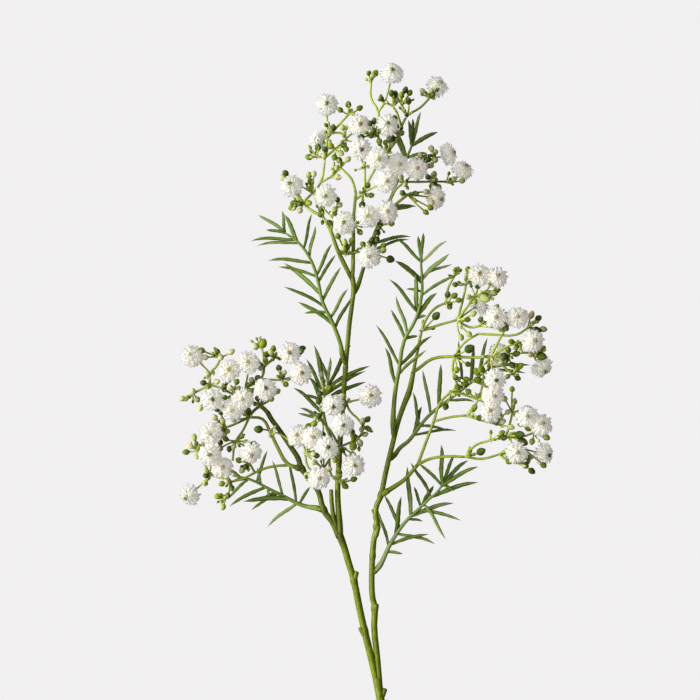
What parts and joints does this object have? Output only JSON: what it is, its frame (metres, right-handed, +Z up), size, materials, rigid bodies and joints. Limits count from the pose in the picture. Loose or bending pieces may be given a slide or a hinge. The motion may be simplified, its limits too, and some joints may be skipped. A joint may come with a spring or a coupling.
{
  "type": "gypsophila stem",
  "caption": "Gypsophila stem with a forked stalk, narrow leafy sprigs, thin budded branchlets and small round spiky white flower heads.",
  "frame": {"origin": "middle of the stem's length and width, on the surface that it lies on", "axes": "+Y along the stem from the cut end towards the top, +Z up from the surface, +X to the right"},
  "size_m": [0.2256, 0.5008, 0.0606],
  "materials": {
    "stem_green": "matte, olive green",
    "leaf_green": "matte, deep green",
    "branchlet_lime": "matte, lime green",
    "flower_white": "soft warm white"
  },
  "bodies": {
    "root": {"stem": "stem_green", "leaves_upper_left": "leaf_green", "leaves_behind_centre": "leaf_green", "leaves_lower_left": "leaf_green", "leaves_tall": "leaf_green", "leaves_top": "leaf_green", "leaves_right": "leaf_green", "leaves_lower_right": "leaf_green", "spray_top": "branchlet_lime", "spray_left": "branchlet_lime", "spray_centre": "branchlet_lime", "spray_right_upper": "branchlet_lime", "spray_right_lower": "branchlet_lime", "head_t07_t08": "flower_white", "head_t17_t18": "flower_white", "head_l02_l03": "flower_white", "head_l08_l09": "flower_white", "head_l11_l12": "flower_white", "head_c04_c08": "flower_white", "head_r01_r02": "flower_white", "head_r04_r05": "flower_white", "head_r08_r09_r09b": "flower_white", "head_r10_r11": "flower_white", "head_t03": "flower_white", "head_t20": "flower_white", "head_t04": "flower_white", "head_t14": "flower_white", "head_t15": "flower_white", "head_t16": "flower_white", "head_t06": "flower_white", "head_t12": "flower_white", "head_t05": "flower_white", "head_t01": "flower_white", "head_t02": "flower_white", "head_t19": "flower_white", "head_t13": "flower_white", "head_t09": "flower_white", "head_t10": "flower_white", "head_t11": "flower_white", "head_l06": "flower_white", "head_l04": "flower_white", "head_l05": "flower_white", "head_l07": "flower_white", "head_l01": "flower_white", "head_l10": "flower_white", "head_l13": "flower_white", "head_l14": "flower_white", "head_c01": "flower_white", "head_c02": "flower_white", "head_c03": "flower_white", "head_c05": "flower_white", "head_c07": "flower_white", "head_c06": "flower_white", "head_r03": "flower_white", "head_r06": "flower_white", "head_r07": "flower_white", "head_r14": "flower_white", "head_r12": "flower_white", "head_r13": "flower_white"}
  },
  "joints": []
}
